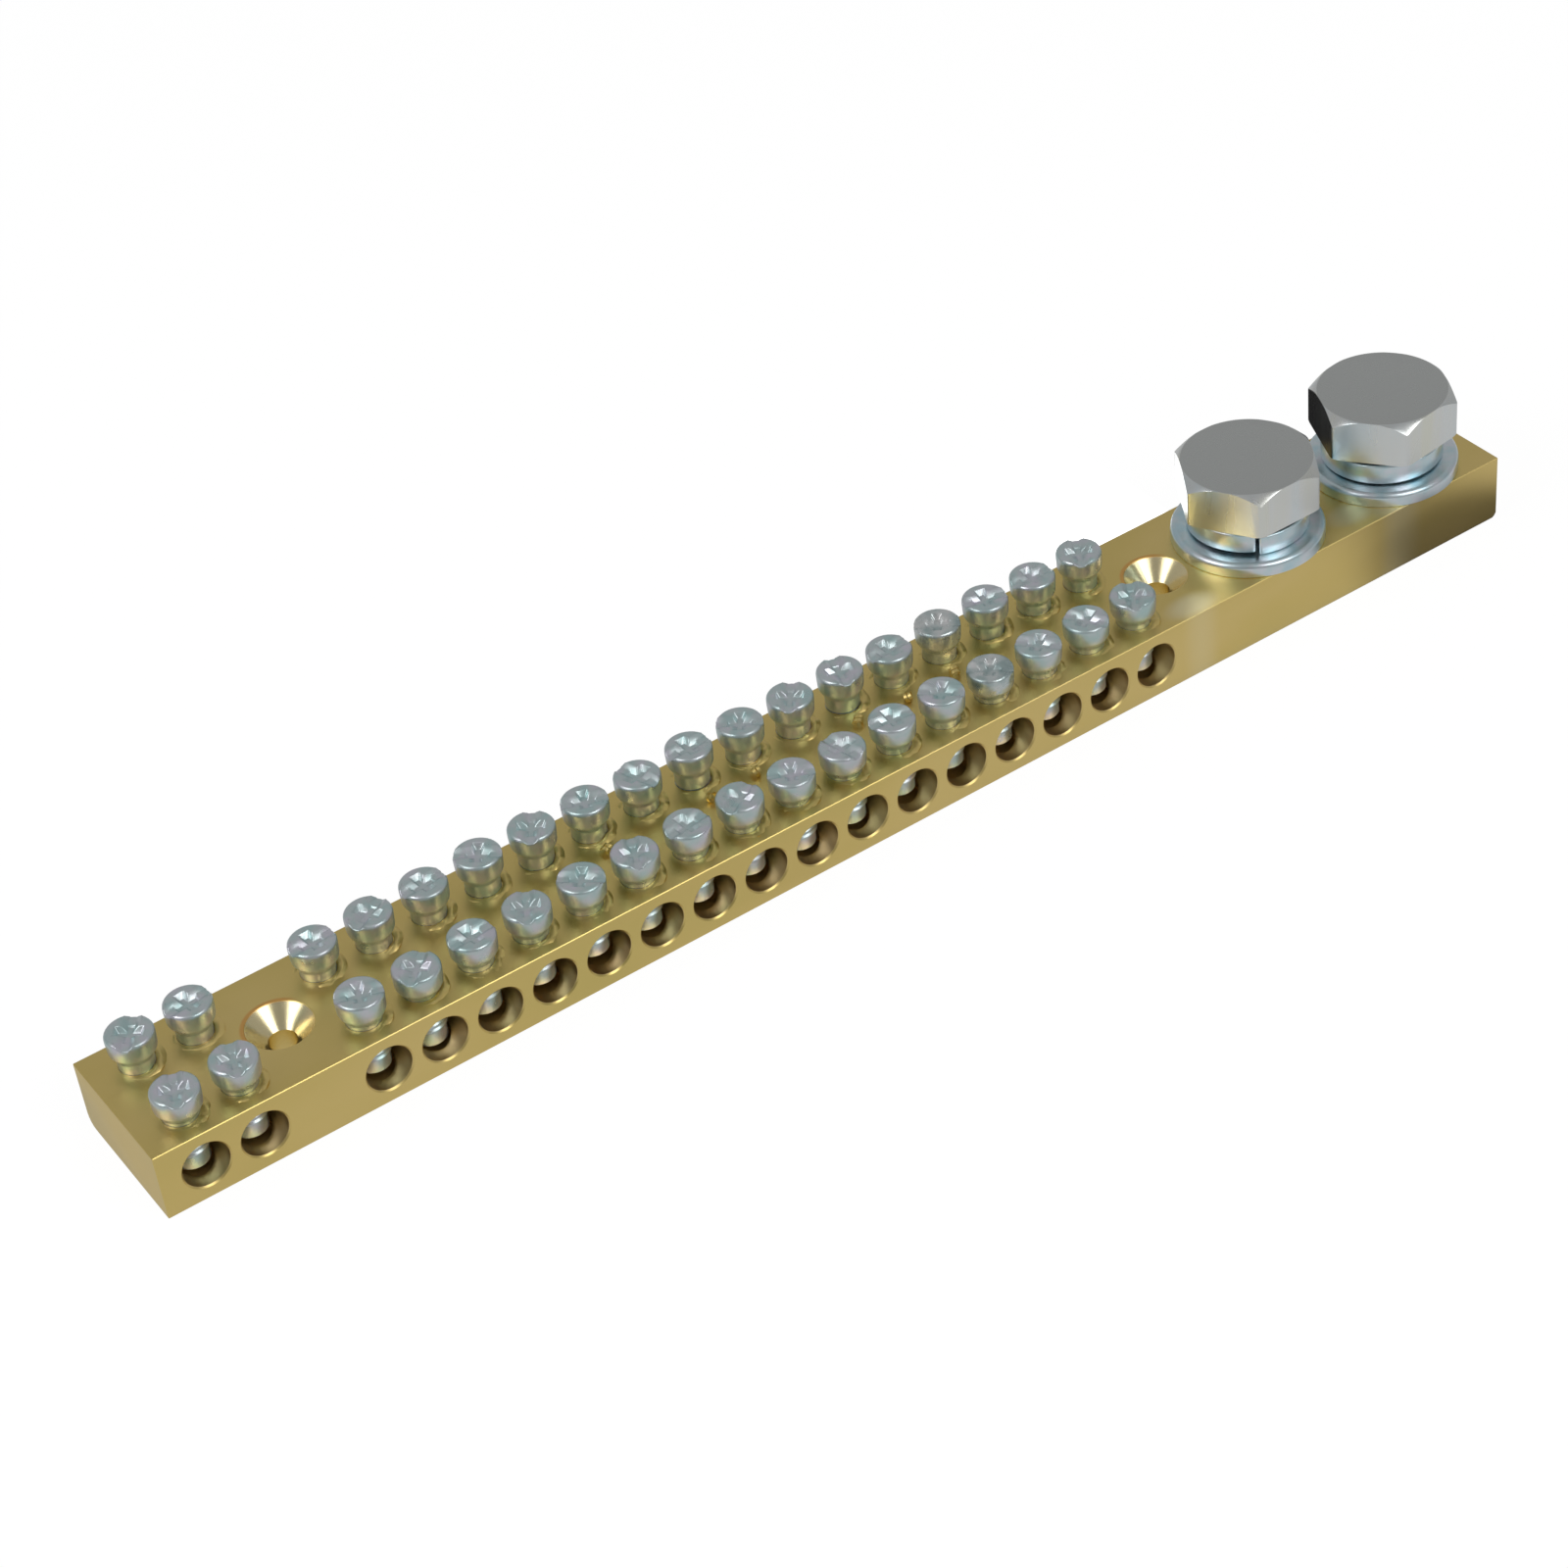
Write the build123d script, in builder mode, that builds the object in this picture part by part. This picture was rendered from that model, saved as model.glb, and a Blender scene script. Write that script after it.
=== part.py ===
"""Brass terminal bar with two rows of clamping screws and two main bolts.

The bar is one length of drawn brass, drilled from front to back for the wires,
from above for the clamping screws, the main bolts and the two countersunk
fixing holes. Each wire hole has a steel screw at the front and one at the back.
Millimetres, +X along the bar towards the main bolts, -Y the front, +Z up.
The origin is the middle of the underside.
"""
import os
from itertools import cycle
from math import cos, radians

from build123d import *

# Bar section
bar_width = 20.0
bar_height = 9.4
bar_edge_radius = 0.2

# Spacing along the bar, from the left end to the right end
left_end_to_first_wire = 5.9
wire_pitch = 7.5
wires_left_of_fixing = 2
wires_right_of_fixing = 16
fixing_to_wire = 8.1
fixing_to_bolt = 14.7
bolt_spacing = 23.0
last_bolt_to_right_end = 12.1

# Wire holes, drilled right through from the front face to the back face
wire_hole_diameter = 6.0
wire_hole_height = 4.7

# Countersunk fixing holes, one after the second wire hole and one after the last
fixing_hole_diameter = 3.5
fixing_rim_diameter = 8.3
fixing_cone_angle = 90.0

# Clamping screws, M5 by 8. The head is a cylinder on a short conical foot, with a
# shallow slot right across it and a deeper cross recess in its middle
screw_thread_diameter = 4.9
screw_neck_diameter = 4.4
screw_neck_length = 2.6
screw_length = 8.25
screw_tip_chamfer = 0.5
screw_head_diameter = 5.9
screw_head_height = 2.9
screw_head_chamfer = 0.35
screw_head_foot = 0.9
screw_slot_width = 2.0
screw_slot_depth = 0.8
screw_slot_taper = 35.0
screw_cross_width = 1.6
screw_cross_length = 3.9
screw_cross_depth = 1.4
screw_cross_taper = 18.0
screw_thread_clearance = 0.05
screw_tip_clearance = 0.55
screw_row_spacing = 10.8
screw_row_offset = -0.1

# How far each head stands off the bar, and how many degrees its slot is turned
# from the bar's length, counted from the left end
front_lifts = (1.1, 1.2, 1.2, 0.8, 1.3, 1.4, 1.4, 1.2, 1.3,
               1.3, 1.0, 1.0, 1.4, 1.6, 1.3, 1.3, 1.3, 1.3)
front_turns = (68, 72, 160, 45, 5, 60, 140, 68, 8,
               30, 150, 100, 172, 135, 140, 130, 120, 60)
back_lifts = (2.0, 2.1, 1.8, 1.9, 2.1, 2.4, 2.4, 2.3, 2.1,
              2.5, 2.3, 2.4, 2.5, 2.0, 2.2, 2.3, 2.1, 2.2)
back_turns = (52, 7, 4, 31, 5, 143, 57, 158, 108,
              2, 145, 52, 75, 5, 145, 165, 0, 60)

# Main bolts, M10 by 12, screwed into the bar through a flat and a spring washer
bolt_thread_diameter = 10.0
bolt_thread_clearance = 0.05
bolt_length = 12.0
bolt_tip_chamfer = 1.0
bolt_across_flats = 17.0
bolt_head_height = 6.6
bolt_corner_chamfer = 1.3
bolt_face_diameter = 15.6
bolt_face_height = 0.45
bolt_row_offset = -0.8
bolt_turns = (0.0, 7.0)

# Flat washers
flat_washer_diameter = 20.0
flat_washer_thickness = 2.0
flat_washer_bore_clearance = 0.25
flat_washer_chamfer = 0.2

# Spring washers, split rings of square wire that climb from one end to the other
spring_washer_section = 2.6
spring_washer_rise = 0.75
spring_washer_split = 0.45
spring_washer_bore_clearance = 0.4
spring_washer_turns = (-121.0, 60.0)
seat_clearance = 0.01

# Places along the bar, from its middle
bar_length = (
    left_end_to_first_wire
    + (wires_left_of_fixing - 1) * wire_pitch
    + 2 * fixing_to_wire
    + (wires_right_of_fixing - 1) * wire_pitch
    + fixing_to_wire
    + fixing_to_bolt
    + bolt_spacing
    + last_bolt_to_right_end
)
first_left_wire = left_end_to_first_wire - bar_length / 2
left_fixing = first_left_wire + (wires_left_of_fixing - 1) * wire_pitch + fixing_to_wire
first_right_wire = left_fixing + fixing_to_wire
left_wires = [first_left_wire + i * wire_pitch for i in range(wires_left_of_fixing)]
right_wires = [first_right_wire + i * wire_pitch for i in range(wires_right_of_fixing)]
wire_places = left_wires + right_wires
right_fixing = right_wires[-1] + fixing_to_wire
first_bolt = right_fixing + fixing_to_bolt
bolt_places = [first_bolt, first_bolt + bolt_spacing]

# Places across the bar
front_row = screw_row_offset - screw_row_spacing / 2
back_row = screw_row_offset + screw_row_spacing / 2

os.makedirs("parts", exist_ok=True)


def save(piece, name):
    """Label a finished piece and write it to its own file."""
    piece.label = name
    export_step(piece, f"parts/{name}.step")


# The brass bar. The screw holes run on below the wire holes, as deep as the
# lowest screw needs
lowest_tip = bar_height + min(front_lifts + back_lifts) - screw_length

with BuildPart() as bar:
    with BuildSketch(Plane.YZ.offset(-bar_length / 2)):
        with Locations((0, bar_height / 2)):
            RectangleRounded(bar_width, bar_height, bar_edge_radius)
    extrude(amount=bar_length)
    with BuildSketch(Plane.XZ.offset(-bar_width / 2)):
        with Locations([(x, wire_hole_height) for x in wire_places]):
            Circle(wire_hole_diameter / 2)
    extrude(amount=bar_width, mode=Mode.SUBTRACT)
    with Locations([(x, y, bar_height) for x in wire_places for y in (front_row, back_row)]):
        Hole(
            radius=screw_thread_diameter / 2 + screw_thread_clearance,
            depth=bar_height - lowest_tip + screw_tip_clearance,
        )
    with Locations((left_fixing, 0, bar_height), (right_fixing, 0, bar_height)):
        CounterSinkHole(
            radius=fixing_hole_diameter / 2,
            counter_sink_radius=fixing_rim_diameter / 2,
            counter_sink_angle=fixing_cone_angle,
        )
    with Locations([(x, bolt_row_offset, bar_height) for x in bolt_places]):
        Hole(radius=bolt_thread_diameter / 2 + bolt_thread_clearance)
save(bar.part, "bar")

# One clamping screw, its origin on the underside of its head
head_radius = screw_head_diameter / 2
neck_radius = screw_neck_diameter / 2
thread_radius = screw_thread_diameter / 2

with BuildPart() as screw:
    with BuildSketch(Plane.XZ):
        with BuildLine():
            Polyline(
                (0, screw_head_height),
                (head_radius - screw_head_chamfer, screw_head_height),
                (head_radius, screw_head_height - screw_head_chamfer),
                (head_radius, screw_head_foot),
                (neck_radius, 0),
                (neck_radius, -screw_neck_length),
                (thread_radius, -screw_neck_length),
                (thread_radius, screw_tip_chamfer - screw_length),
                (thread_radius - screw_tip_chamfer, -screw_length),
                (0, -screw_length),
                close=True,
            )
        make_face()
    revolve(axis=Axis.Z)
    with BuildSketch(Plane.XY.offset(screw_head_height)):
        Rectangle(2 * screw_head_diameter, screw_slot_width)
    extrude(amount=-screw_slot_depth, taper=screw_slot_taper, mode=Mode.SUBTRACT)
    with BuildSketch(Plane.XY.offset(screw_head_height)):
        Rectangle(screw_cross_length, screw_cross_width)
        Rectangle(screw_cross_width, screw_cross_length)
    extrude(amount=-screw_cross_depth, taper=screw_cross_taper, mode=Mode.SUBTRACT)

for row, y, lifts, turns in (
    ("front", front_row, front_lifts, front_turns),
    ("back", back_row, back_lifts, back_turns),
):
    for number, (x, lift, turn) in enumerate(zip(wire_places, cycle(lifts), cycle(turns)), 1):
        place = Location((x, y, bar_height + lift), (0, 0, turn))
        save(screw.part.moved(place), f"terminal_screw_{row}_{number:02d}")

# Flat washer, lying on the bar
with BuildPart() as flat_washer:
    with BuildSketch():
        Circle(flat_washer_diameter / 2)
        Circle(bolt_thread_diameter / 2 + flat_washer_bore_clearance, mode=Mode.SUBTRACT)
    extrude(amount=flat_washer_thickness)
    chamfer(
        flat_washer.edges().group_by(Axis.Z)[-1].sort_by(SortBy.LENGTH)[-1],
        length=flat_washer_chamfer,
    )

# Spring washer: square wire along one turn of a helix, with the split sawn through
wire_radius = bolt_thread_diameter / 2 + spring_washer_bore_clearance + spring_washer_section / 2

with BuildPart() as spring_washer:
    with BuildLine() as coil:
        Helix(
            pitch=spring_washer_rise,
            height=spring_washer_rise,
            radius=wire_radius,
            center=(0, 0, spring_washer_section / 2 + seat_clearance),
        )
    with BuildSketch(Plane(origin=coil.line @ 0, x_dir=(1, 0, 0), z_dir=coil.line % 0)):
        Rectangle(spring_washer_section, spring_washer_section)
    sweep(is_frenet=True)
    with Locations((wire_radius, 0, 0)):
        Box(
            2 * spring_washer_section,
            spring_washer_split,
            4 * (spring_washer_section + spring_washer_rise),
            mode=Mode.SUBTRACT,
        )

# Main bolt, its origin on the seat under its head
corner_radius = bolt_across_flats / 2 / cos(radians(30))
chamfer_top_radius = corner_radius - bolt_corner_chamfer
chamfer_foot_height = bolt_head_height - bolt_corner_chamfer

with BuildPart() as bolt:
    with BuildSketch(Plane.XY.offset(bolt_face_height)):
        RegularPolygon(bolt_across_flats / 2, 6, major_radius=False)
    extrude(amount=bolt_head_height - bolt_face_height)
    with BuildSketch(Plane.XZ):
        with BuildLine():
            Polyline(
                (0, 0),
                (corner_radius, 0),
                (corner_radius, chamfer_foot_height),
                (chamfer_top_radius, bolt_head_height),
                (0, bolt_head_height),
                close=True,
            )
        make_face()
    revolve(axis=Axis.Z, mode=Mode.INTERSECT)
    with BuildSketch():
        Circle(bolt_face_diameter / 2)
    extrude(amount=bolt_face_height)
    with BuildSketch():
        Circle(bolt_thread_diameter / 2)
    extrude(amount=-bolt_length)
    chamfer(bolt.edges().group_by(Axis.Z)[0], length=bolt_tip_chamfer)

# The two stacks: flat washer on the bar, spring washer on it, bolt on top
spring_seat = bar_height + flat_washer_thickness
bolt_seat = spring_seat + spring_washer_section + spring_washer_rise + 2 * seat_clearance
for number, (x, spring_turn, bolt_turn) in enumerate(
    zip(bolt_places, spring_washer_turns, bolt_turns), 1
):
    on_bar = Location((x, bolt_row_offset, bar_height))
    on_washer = Location((x, bolt_row_offset, spring_seat), (0, 0, spring_turn))
    on_spring = Location((x, bolt_row_offset, bolt_seat), (0, 0, bolt_turn))
    save(flat_washer.part.moved(on_bar), f"flat_washer_{number}")
    save(spring_washer.part.moved(on_washer), f"spring_washer_{number}")
    save(bolt.part.moved(on_spring), f"bolt_{number}")
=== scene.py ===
# %% [markdown]
# A brass terminal bar: one drawn brass bar with a row of wire holes through it, two
# rows of zinc-plated clamping screws standing in it, and two big hexagon bolts on
# spring washers and flat washers at its right end. The measured solids come in first
# as a fixed frame. Everything seen is then modelled around them with Blender's own
# operators, in metres, in the same place.

# %% Load the measured solids
import math

import bpy
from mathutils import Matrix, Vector


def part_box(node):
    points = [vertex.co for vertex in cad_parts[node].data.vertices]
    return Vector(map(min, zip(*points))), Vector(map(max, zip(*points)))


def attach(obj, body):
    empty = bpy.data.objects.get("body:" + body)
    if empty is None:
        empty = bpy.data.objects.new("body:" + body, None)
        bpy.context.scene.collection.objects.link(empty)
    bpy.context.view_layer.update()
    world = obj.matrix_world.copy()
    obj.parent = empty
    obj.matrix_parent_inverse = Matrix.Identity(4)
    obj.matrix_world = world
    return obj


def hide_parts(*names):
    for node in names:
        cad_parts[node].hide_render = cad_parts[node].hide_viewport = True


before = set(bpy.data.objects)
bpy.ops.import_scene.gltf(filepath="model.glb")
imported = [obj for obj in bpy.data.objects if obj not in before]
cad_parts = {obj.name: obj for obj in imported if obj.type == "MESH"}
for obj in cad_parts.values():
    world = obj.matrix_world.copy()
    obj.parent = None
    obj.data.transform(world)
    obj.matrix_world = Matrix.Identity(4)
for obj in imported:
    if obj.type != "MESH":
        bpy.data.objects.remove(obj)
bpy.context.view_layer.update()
MM = 0.001
print("solids loaded:", len(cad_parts))

# %% [markdown]
# The sizes below are the real ones, in millimetres, as a caliper would read them on
# the bench. Whatever can be read from the solids is read from them instead, so a
# screw that stands higher in the frame stands higher here too.

# %% Sizes of the real pieces, in millimetres
WIRE_HOLE_RADIUS = 3.0
WIRE_RIM_RADIUS = 3.2
WIRE_HOLE_HEIGHT = 4.7
SCREW_HOLE_RADIUS = 2.5
SCREW_HOLE_MOUTH = 2.23
SCREW_TIP_CLEARANCE = 0.55
DRILL_POINT = 0.8
LONG_EDGE = 0.2
LEFT_CORNER_WEAR, RIGHT_CORNER_WEAR = 1.6, 1.1

FIXING_RIM_RADIUS = 4.15
FIXING_BORE_RADIUS = 1.75
BOLT_HOLE_RADIUS = 5.05
HEAD_RADIUS = 2.95
HEAD_HEIGHT = 2.9
HEAD_ROUNDING = 0.5
NECK_RADIUS = 2.2
NECK_LENGTH = 2.4
THREAD_RADIUS = 2.45
THREAD_PITCH = 0.8
DOG_RADIUS, DOG_LENGTH = 2.15, 2.2
SCREW_LENGTH = 8.25
SLOT_WIDTH, SLOT_DEPTH, SLOT_SLOPE = 2.2, 0.56, 52.0
CROSS_WIDTH, CROSS_LENGTH, CROSS_DEPTH, CROSS_SLOPE = 1.6, 3.6, 0.80, 32.0

ACROSS_FLATS, BOLT_HEAD, CORNER_DROP = 17.0, 6.6, 1.3
FACE_RADIUS, FACE_HEIGHT = 7.8, 0.45
BOLT_RADIUS, BOLT_LENGTH = 5.0, 12.0
BOLT_TURNS = (0.0, 7.0)

# How each slot is turned from the bar's length, in degrees, from the left end
FRONT_TURNS = (68, 72, 160, 45, 5, 60, 140, 68, 8, 30, 150, 100, 172, 135, 140, 130, 120, 60)
BACK_TURNS = (52, 7, 4, 31, 5, 143, 57, 158, 108, 2, 145, 52, 75, 5, 145, 165, 0, 60)

# Two screws whose heads look rougher than the rest
GALLED_SCREWS = ("front_15", "back_15")

# Painted highlights, pale patches of reflected light on the bar's top: along, across, strength
PAINTED_GLEAM_PLACES = ((49.4, -8.0, 0.9), (77.5, -6.5, 0.8), (83.0, -8.6, 0.7))

# Curls of swarf: along, across, turn in degrees
SWARF = (
    (-33.6, 0.6, 100),
    (-18.5, 0.7, 20),
    (-11.8, 0.9, 75),
    (3.4, 0.4, 130),
    (10.8, 0.5, 50),
    (18.3, 0.2, 160),
)

bar_low, bar_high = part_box("bar")
BAR_LENGTH = (bar_high.x - bar_low.x) / MM
BAR_WIDTH = (bar_high.y - bar_low.y) / MM
BAR_HEIGHT = (bar_high.z - bar_low.z) / MM
print("bar:", round(BAR_LENGTH, 1), round(BAR_WIDTH, 1), round(BAR_HEIGHT, 1))


def middle(node):
    """Centre of a solid seen from above, in millimetres."""
    low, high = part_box(node)
    return (low.x + high.x) / 2 / MM, (low.y + high.y) / 2 / MM


wire_places = [middle(f"terminal_screw_front_{n:02d}")[0] for n in range(1, 19)]
front_row = middle("terminal_screw_front_01")[1]
back_row = middle("terminal_screw_back_01")[1]
lowest_tip = min(
    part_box(f"terminal_screw_{row}_{n:02d}")[0].z for row in ("front", "back") for n in range(1, 19)
)
SCREW_HOLE_END = lowest_tip / MM - SCREW_TIP_CLEARANCE
bolt_places = [middle("flat_washer_1"), middle("flat_washer_2")]
fixing_places = [
    (wire_places[1] + wire_places[2]) / 2,
    wire_places[-1] + (wire_places[2] - wire_places[1]) / 2,
]

# %% [markdown]
# An operator acts on whatever is selected, and the loaded solids come in selected, so
# each piece starts by deselecting everything. A round piece is turned the way a
# lathe turns it: one point walks along the outline, and the outline is spun once
# round the axis. That keeps every ring of faces even, which shiny metal needs. A coil
# is a strip that the Screw modifier winds while it climbs.

# %% Helpers for modelling
def deselect():
    """Leave edit mode and select nothing."""
    if bpy.context.object and bpy.context.object.mode != "OBJECT":
        bpy.ops.object.mode_set(mode="OBJECT")
    bpy.ops.object.select_all(action="DESELECT")


def make_active(piece):
    """Select one piece alone."""
    deselect()
    piece.select_set(True)
    bpy.context.view_layer.objects.active = piece


def traced(name, outline):
    """A chain of edges through (radius, height) points in millimetres, left in edit mode."""
    deselect()
    bpy.ops.mesh.primitive_plane_add(size=MM)
    piece = bpy.context.object
    piece.name = name
    bpy.ops.object.mode_set(mode="EDIT")
    bpy.ops.mesh.merge(type="CENTER")
    radius, height = outline[0]
    bpy.ops.transform.translate(value=(radius * MM, 0, height * MM))
    for new_radius, new_height in outline[1:]:
        step = ((new_radius - radius) * MM, 0, (new_height - height) * MM)
        bpy.ops.mesh.extrude_region_move(TRANSFORM_OT_translate={"value": step})
        radius, height = new_radius, new_height
    return piece


def turned(name, outline, steps, place=(0, 0, 0)):
    """A round piece: its outline is spun about Z."""
    piece = traced(name, outline)
    bpy.ops.mesh.select_all(action="SELECT")
    bpy.ops.mesh.spin(steps=steps, angle=2 * math.pi, center=(0, 0, 0), axis=(0, 0, 1))
    bpy.ops.mesh.select_all(action="SELECT")
    bpy.ops.mesh.remove_doubles(threshold=0.002 * MM)
    bpy.ops.mesh.normals_make_consistent(inside=False)
    bpy.ops.transform.translate(value=[v * MM for v in place])
    bpy.ops.object.mode_set(mode="OBJECT")
    return piece


def rounded_rim(radius, top, rounding, angles):
    """Points of an outline round the upper rim of a piece, one for each angle in degrees."""
    return [
        (
            radius - rounding + rounding * math.cos(math.radians(angle)),
            top - rounding + rounding * math.sin(math.radians(angle)),
        )
        for angle in angles
    ]


def wound(name, section, centre, angle, climb, steps):
    """A strip wound about Z with closed ends; section and centre are (along radius, up)."""
    deselect()
    bpy.ops.mesh.primitive_plane_add(
        size=MM,
        location=(centre[0] * MM, 0, centre[1] * MM),
        rotation=(math.radians(90), 0, 0),
    )
    piece = bpy.context.object
    piece.name = name
    piece.scale = (*section, 1)
    bpy.ops.object.transform_apply(location=True, rotation=True, scale=True)
    bpy.ops.object.mode_set(mode="EDIT")
    bpy.ops.mesh.select_all(action="SELECT")
    bpy.ops.mesh.delete(type="ONLY_FACE")
    bpy.ops.object.mode_set(mode="OBJECT")
    winding = piece.modifiers.new("winding", "SCREW")
    winding.angle = angle
    winding.screw_offset = climb * MM
    winding.steps = steps
    winding.render_steps = steps
    make_active(piece)
    bpy.ops.object.modifier_apply(modifier=winding.name)
    bpy.ops.object.mode_set(mode="EDIT")
    bpy.ops.mesh.select_all(action="SELECT")
    bpy.ops.mesh.fill_holes(sides=4)
    bpy.ops.mesh.select_all(action="SELECT")
    bpy.ops.mesh.normals_make_consistent(inside=False)
    bpy.ops.object.mode_set(mode="OBJECT")
    return piece


def block(name, low, high):
    """A plain block between two corners, in millimetres, to be cut or to cut with."""
    deselect()
    centre = [(a + b) / 2 * MM for a, b in zip(low, high)]
    bpy.ops.mesh.primitive_cube_add(size=1, location=centre)
    piece = bpy.context.object
    piece.name = name
    piece.scale = [(b - a) * MM for a, b in zip(low, high)]
    bpy.ops.object.transform_apply(location=True, rotation=True, scale=True)
    return piece


def join(pieces):
    """Several pieces joined into the first of them."""
    deselect()
    for piece in pieces:
        piece.select_set(True)
    bpy.context.view_layer.objects.active = pieces[0]
    bpy.ops.object.join()
    return pieces[0]


def combine(piece, tool, operation="DIFFERENCE"):
    """Cut a piece with a tool, unite them or keep what they share, and use the tool up."""
    modifier = piece.modifiers.new("cut", "BOOLEAN")
    modifier.operation = operation
    modifier.object = tool
    modifier.solver = "EXACT"
    make_active(piece)
    bpy.ops.object.modifier_apply(modifier=modifier.name)
    bpy.data.objects.remove(tool, do_unlink=True)
    return piece


def break_edges(piece, width, angle=35, segments=2, clamp=True):
    """Round the sharp edges a little, as deburring does, so that they catch the light."""
    modifier = piece.modifiers.new("edges", "BEVEL")
    modifier.width = width * MM
    modifier.segments = segments
    modifier.limit_method = "ANGLE"
    modifier.angle_limit = math.radians(angle)
    modifier.use_clamp_overlap = clamp
    make_active(piece)
    bpy.ops.object.modifier_apply(modifier=modifier.name)


def smooth(piece, angle=40):
    """Shade round faces smooth and leave real corners sharp."""
    make_active(piece)
    bpy.ops.object.shade_smooth_by_angle(angle=math.radians(angle))
    deselect()


def copied(piece, name, place, turn=0.0):
    """A copy with its own mesh, turned about Z in degrees and put in its place."""
    copy = piece.copy()
    copy.data = piece.data.copy()
    copy.name = name
    bpy.context.scene.collection.objects.link(copy)
    copy.rotation_euler = (0, 0, math.radians(turn))
    copy.location = [v * MM for v in place]
    make_active(copy)
    bpy.ops.object.transform_apply(location=True, rotation=True, scale=True)
    return copy


def fit(piece, node, finish):
    """Give a piece its finish and let it stand for its solid."""
    piece.data.materials.clear()
    piece.data.materials.append(finish)
    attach(piece, "root")
    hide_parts(node)


# %% [markdown]
# Drawn brass is not a mirror. Its skin carries fine lines along the bar and a faint
# waviness across it, so reflections smear lengthways and wobble. Both come from
# noise stretched along X in the piece's own coordinates, used as bump, and the colour
# drifts a little between greener and browner brass. Where a tool has been, the metal
# differs: the countersinks are turned bright, with a copper arc at their rims.
# The walls of the drilled holes carry painted light, a tint for the light bounced about
# inside them, and a few pale patches on the top are painted highlights of reflected
# light. Each of these is a mask made from distances on the bar.

# %% Finish: drawn brass
def new_material(name, base_color, roughness, metallic=1.0):
    """A metal with its plain values set on the shader's own sockets."""
    material = bpy.data.materials.new(name)
    material.use_nodes = True
    shader = material.node_tree.nodes["Principled BSDF"]
    shader.inputs["Base Color"].default_value = (*base_color, 1)
    shader.inputs["Roughness"].default_value = roughness
    shader.inputs["Metallic"].default_value = metallic
    return material, material.node_tree.nodes, material.node_tree.links, shader


def noise(nodes, links, scale, stretch, detail):
    """Noise on the piece's own coordinates; scale is cells per metre, stretch per axis."""
    place = nodes.new("ShaderNodeTexCoord")
    mapping = nodes.new("ShaderNodeMapping")
    mapping.inputs["Scale"].default_value = stretch
    texture = nodes.new("ShaderNodeTexNoise")
    texture.inputs["Scale"].default_value = scale
    texture.inputs["Detail"].default_value = detail
    links.new(place.outputs["Object"], mapping.inputs["Vector"])
    links.new(mapping.outputs["Vector"], texture.inputs["Vector"])
    return texture.outputs["Fac"]


def ramp(nodes, links, value, stops):
    """Colours along a value: stops are (position, colour)."""
    node = nodes.new("ShaderNodeValToRGB")
    elements = node.color_ramp.elements
    while len(elements) < len(stops):
        elements.new(0.5)
    for element, (position, colour) in zip(elements, stops):
        element.position = position
        element.color = (*colour, 1)
    links.new(value, node.inputs["Fac"])
    return node.outputs["Color"]


def spread(nodes, links, value, low, high):
    """Noise between 0.3 and 0.7 mapped to a range of plain numbers."""
    node = nodes.new("ShaderNodeMapRange")
    node.inputs["From Min"].default_value = 0.3
    node.inputs["From Max"].default_value = 0.7
    node.inputs["To Min"].default_value = low
    node.inputs["To Max"].default_value = high
    links.new(value, node.inputs["Value"])
    return node.outputs["Result"]


def calculate(nodes, links, operation, *values):
    """One sum on values that are sockets or plain numbers."""
    node = nodes.new("ShaderNodeMath")
    node.operation = operation
    for socket, value in zip(node.inputs, values):
        if isinstance(value, (int, float)):
            socket.default_value = value
        else:
            links.new(value, socket)
    return node.outputs[0]


def product(nodes, links, *values):
    """All values multiplied together."""
    result = values[0]
    for value in values[1:]:
        result = calculate(nodes, links, "MULTIPLY", result, value)
    return result


def fade(nodes, links, value, start, end):
    """Zero before start, one after end, smooth between; start may be the larger."""
    node = nodes.new("ShaderNodeMapRange")
    node.interpolation_type = "SMOOTHSTEP"
    node.inputs["From Min"].default_value = start
    node.inputs["From Max"].default_value = end
    links.new(value, node.inputs["Value"])
    return node.outputs["Result"]


def band(nodes, links, value, start, full, still, end):
    """One from full to still, zero outside start and end."""
    return product(
        nodes, links,
        fade(nodes, links, value, start, full),
        fade(nodes, links, value, end, still),
    )


def distance_from(nodes, links, x, y, centre, squash=1.0):
    """Metres from a centre given in millimetres; squash under 1 draws a circle out along X."""
    along = calculate(nodes, links, "MULTIPLY_ADD", x, squash, -squash * centre[0] * MM)
    across = calculate(nodes, links, "SUBTRACT", y, centre[1] * MM)
    return calculate(
        nodes, links, "SQRT",
        calculate(
            nodes, links, "ADD",
            calculate(nodes, links, "MULTIPLY", along, along),
            calculate(nodes, links, "MULTIPLY", across, across),
        ),
    )


def tinted(nodes, links, under, share, tint):
    """A colour with another laid over it as far as share says."""
    node = nodes.new("ShaderNodeMix")
    node.data_type = "RGBA"
    node.inputs["B"].default_value = (*tint, 1)
    links.new(share, node.inputs["Factor"])
    links.new(under, node.inputs["A"])
    return node.outputs["Result"]


def place_axes(nodes, links):
    """The piece's own coordinates as three values."""
    place = nodes.new("ShaderNodeTexCoord")
    axes = nodes.new("ShaderNodeSeparateXYZ")
    links.new(place.outputs["Object"], axes.inputs[0])
    return axes.outputs["X"], axes.outputs["Y"], axes.outputs["Z"]


def bump(nodes, links, shader, heights):
    """Chain of bumps: heights are (value, height in millimetres, strength)."""
    normal = None
    for value, height, strength in heights:
        node = nodes.new("ShaderNodeBump")
        node.inputs["Distance"].default_value = height * MM
        node.inputs["Strength"].default_value = strength
        links.new(value, node.inputs["Height"])
        if normal:
            links.new(normal, node.inputs["Normal"])
        normal = node.outputs["Normal"]
    links.new(normal, shader.inputs["Normal"])


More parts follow.
